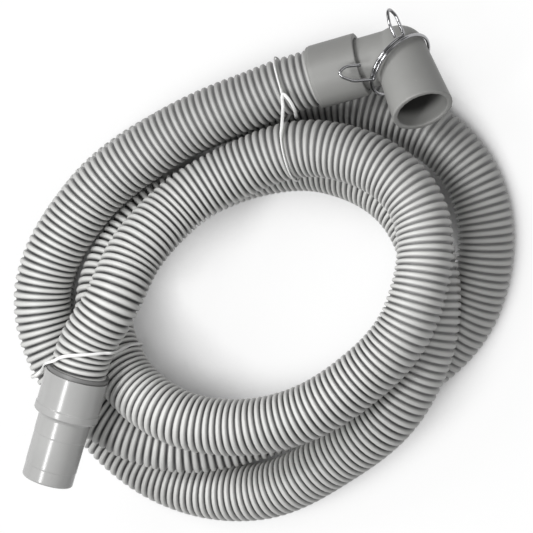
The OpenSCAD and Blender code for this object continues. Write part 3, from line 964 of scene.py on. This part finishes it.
class POOLHOSE_OT_straight_cuff(Operator):
    """The straight cuff, and the bush on the hose that it turns on"""
    bl_idname = "poolhose.straight_cuff"
    bl_label = "Straight cuff"

    def execute(self, context):
        cuff = context.scene.pool_hose_cuff
        grey = moulded_finish("moulded_cuff_grey", cuff.grey, 0.16, 0.2)
        self.cuff(cuff, grey)
        dress_node("cuff_bush", moulded_finish("moulded_bush_grey",
                                               [0.45 * c for c in cuff.grey], 0.4, 0.2))
        dress_node("cuff_washer", rubber_finish("cuff_seal_black", cuff.rubber))
        dress_node("cuff_ring", wire_finish(
            "cuff_ring_steel", context.scene.pool_hose_clamp.steel, 0.25))
        return {"FINISHED"}

    def cuff(self, cuff, grey):
        wide = cuff.wide_outside / 2
        bore = cuff.bush_outside / 2 + RUNNING_GAP
        bead = wide + 0.6 * MM
        stub = cuff.stub_outside / 2
        hole = cuff.stub_bore / 2
        groove = bore + 0.7 * MM
        snap = BEAD_START + 1.2 * MM
        shoulder = 43.3 * MM
        stub_run = CUFF_MOUTH - STUB_START
        first = STUB_START + 0.30 * stub_run
        second = STUB_START + 0.78 * stub_run
        slope = 0.6 * MM
        piece = turned_piece("swivel_cuff_shell", [
            (bore, SLEEVE_RIM),
            (wide, SLEEVE_RIM),
            (wide, BEAD_START - 0.3 * MM),
            (bead, BEAD_START + 0.5 * MM),
            (bead, STUB_START - 1.4 * MM),
            (bead - 0.9 * MM, STUB_START - 0.4 * MM),
            (stub + 0.6 * MM, STUB_START + 0.4 * MM),
            (stub, STUB_START + 2.2 * MM),
            (stub, first),
            (stub - cuff.step, first + slope),
            (stub - cuff.step, second),
            (stub - 2 * cuff.step, second + slope),
            (stub - 2 * cuff.step, CUFF_MOUTH - 1 * MM),
            (stub - 2 * cuff.step - 1 * MM, CUFF_MOUTH),
            (hole, CUFF_MOUTH),
            (hole, shoulder),
            (bore, shoulder),
            (bore, snap + 1.2 * MM),
            (groove, snap + 1.2 * MM),
            (groove, snap - 0.2 * MM),
            (bore, snap - 0.2 * MM)], sides=128)
        round_edges(piece, 0.35 * MM, 3, 12)
        smooth_faces(piece, 35)
        settle(piece, CUFF_END, grey, "cuff", "cuff_grey", "swivel_cuff")


class POOLHOSE_OT_twist_ties(Operator):
    """The two twist ties round the coil"""
    bl_idname = "poolhose.twist_ties"
    bl_label = "Twist ties"

    def execute(self, context):
        ties = context.scene.pool_hose_ties
        vinyl = tie_finish(ties)
        for name, node, loop, slimming in (
                ("top_tie_band", "top_tie", TOP_LOOP, ties.slimming),
                ("side_tie_band", "side_tie", SIDE_LOOP, 0.0)):
            settle(self.band(ties, name, loop, slimming), Matrix(), vinyl, "coil",
                   "tie_white", node)
        return {"FINISHED"}

    def station(self, turn, clock, stand_off):
        """A point beside the hose, and the direction straight away from the hose there."""
        point = coil_point(turn)
        aim = (coil_point(turn + AIM_STEP) - point).normalized()
        side = Vector((0, 0, 1)).cross(aim).normalized()
        up = aim.cross(side)
        clock = math.radians(clock)
        away = math.sin(clock) * up - math.cos(clock) * side
        return point + (HOSE_OUTSIDE * (0.5 + stand_off) + TIE_GAP) * away, away

    def band(self, ties, name, loop, slimming):
        """A flat band with a fuller middle, where its wire core runs. Where it lies tight
        on the hose it is pulled narrower."""
        stations = [self.station(*s) for s in loop]
        spots, aways = zip(*stations)
        last, rings_per_station = len(spots) - 1, 12
        steps = rings_per_station * last
        places = [min(i / rings_per_station, last - 1e-6) for i in range(steps + 1)]
        line = [smooth(spots, u) for u in places]
        facing = [smooth(aways, u) for u in places]
        offs = [off for _, _, off in loop]
        loose = [min(max(smooth(offs, u) / FREE_STAND_OFF, 0), 1) for u in places]
        half, thick = ties.width / 2, ties.thickness / 2
        section = [(half, 0), (0.85 * half, 0.45 * thick), (0.45 * half, 0.62 * thick),
                   (0.2 * half, thick), (-0.2 * half, thick), (-0.45 * half, 0.62 * thick),
                   (-0.85 * half, 0.45 * thick)]
        section = section + [(-half, 0)] + [(x, -y) for x, y in reversed(section[1:])]
        size = len(section)
        points, faces = [], []
        for i, (spot, away, slack) in enumerate(zip(line, facing, loose)):
            narrow = 1 - slimming * (1 - slack)
            aim = (line[min(i + 1, steps)] - line[max(i - 1, 0)]).normalized()
            up = (away - aim * away.dot(aim)).normalized()
            across = aim.cross(up)
            points += [spot + across * x * narrow + up * y for x, y in section]
            if i:
                for k in range(size):
                    a, b = (i - 1) * size + k, (i - 1) * size + (k + 1) % size
                    faces.append((a, b, b + size, a + size))
        faces.append(tuple(reversed(range(size))))
        faces.append(tuple(range(steps * size, (steps + 1) * size)))
        piece = mesh_piece(name, points, faces)
        turn_out(piece)
        return piece


OPERATORS = (POOLHOSE_OT_stage, POOLHOSE_OT_hose, POOLHOSE_OT_elbow_cuff,
             POOLHOSE_OT_spring_clamp, POOLHOSE_OT_straight_cuff, POOLHOSE_OT_twist_ties)


class POOLHOSE_PT_panel(Panel):
    """Buttons and sizes for each group of pieces"""
    bl_label = "Pool hose"
    bl_idname = "POOLHOSE_PT_panel"
    bl_space_type = "VIEW_3D"
    bl_region_type = "UI"
    bl_category = "Pool hose"

    def draw(self, context):
        for operator in OPERATORS:
            self.layout.operator(operator.bl_idname)
        for name, group in SETTINGS.items():
            box = self.layout.box()
            for key in group.__annotations__:
                box.prop(getattr(context.scene, name), key)


def register():
    for group in SETTINGS.values():
        bpy.utils.register_class(group)
    for name, group in SETTINGS.items():
        setattr(bpy.types.Scene, name, PointerProperty(type=group))
    for cls in (*OPERATORS, POOLHOSE_PT_panel):
        bpy.utils.register_class(cls)


def unregister():
    for cls in reversed((*OPERATORS, POOLHOSE_PT_panel)):
        bpy.utils.unregister_class(cls)
    for name, group in SETTINGS.items():
        delattr(bpy.types.Scene, name)
        bpy.utils.unregister_class(group)


def main():
    register()
    bpy.ops.poolhose.stage()
    bpy.ops.poolhose.hose()
    bpy.ops.poolhose.elbow_cuff()
    bpy.ops.poolhose.spring_clamp()
    bpy.ops.poolhose.straight_cuff()
    bpy.ops.poolhose.twist_ties()


if __name__ == "__main__":
    main()
